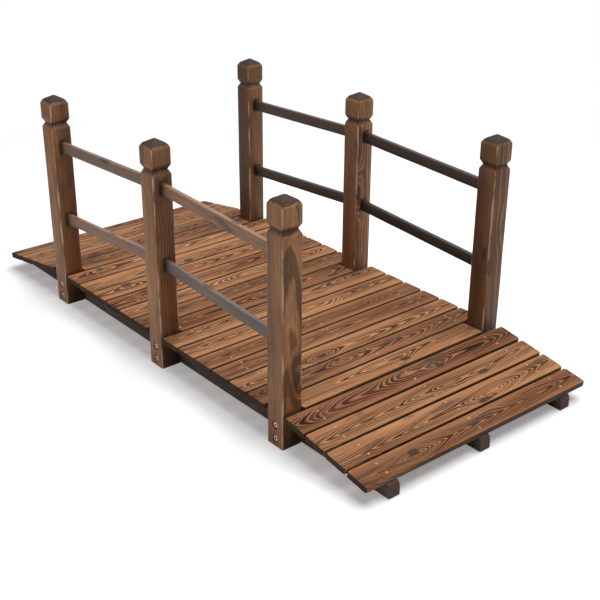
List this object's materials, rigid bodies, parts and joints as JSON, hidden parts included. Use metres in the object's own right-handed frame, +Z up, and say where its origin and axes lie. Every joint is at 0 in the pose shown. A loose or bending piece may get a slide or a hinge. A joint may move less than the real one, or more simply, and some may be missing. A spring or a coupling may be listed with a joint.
{
  "type": "moon bridge",
  "caption": "Low timber garden footbridge: a boarded deck on joists slopes down at both ends, between capped posts and flat rails that rise to the middle.",
  "frame": {"origin": "on the floor, at the middle of the bridge's length and width", "axes": "+X along the walkway, +Y across it from the left railing to the right one, +Z up"},
  "size_m": [1.5, 0.672, 0.561],
  "materials": {
    "deck_timber": "stained and charred, satin",
    "post_timber": "stained and charred, satin",
    "rail_timber": "dark stain, matte",
    "joist_timber": "dark stain, matte"
  },
  "bodies": {
    "root": {"deck_board_01": "deck_timber", "deck_board_02": "deck_timber", "deck_board_03": "deck_timber", "deck_board_04": "deck_timber", "deck_board_05": "deck_timber", "deck_board_06": "deck_timber", "deck_board_07": "deck_timber", "deck_board_08": "deck_timber", "deck_board_09": "deck_timber", "deck_board_10": "deck_timber", "deck_board_11": "deck_timber", "deck_board_12": "deck_timber", "deck_board_13": "deck_timber", "deck_board_14": "deck_timber", "deck_board_15": "deck_timber", "deck_board_16": "deck_timber", "deck_board_17": "deck_timber", "deck_board_18": "deck_timber", "deck_board_19": "deck_timber", "deck_board_20": "deck_timber", "deck_board_21": "deck_timber", "deck_board_22": "deck_timber", "deck_board_23": "deck_timber", "joist_left": "joist_timber", "joist_middle": "joist_timber", "joist_right": "joist_timber", "post_left_1": "post_timber", "post_left_2": "post_timber", "post_left_3": "post_timber", "post_right_1": "post_timber", "post_right_2": "post_timber", "post_right_3": "post_timber", "rail_low_left_1": "rail_timber", "rail_low_left_2": "rail_timber", "rail_low_right_1": "rail_timber", "rail_low_right_2": "rail_timber", "rail_top_left_1": "rail_timber", "rail_top_left_2": "rail_timber", "rail_top_right_1": "rail_timber", "rail_top_right_2": "rail_timber"}
  },
  "joints": []
}
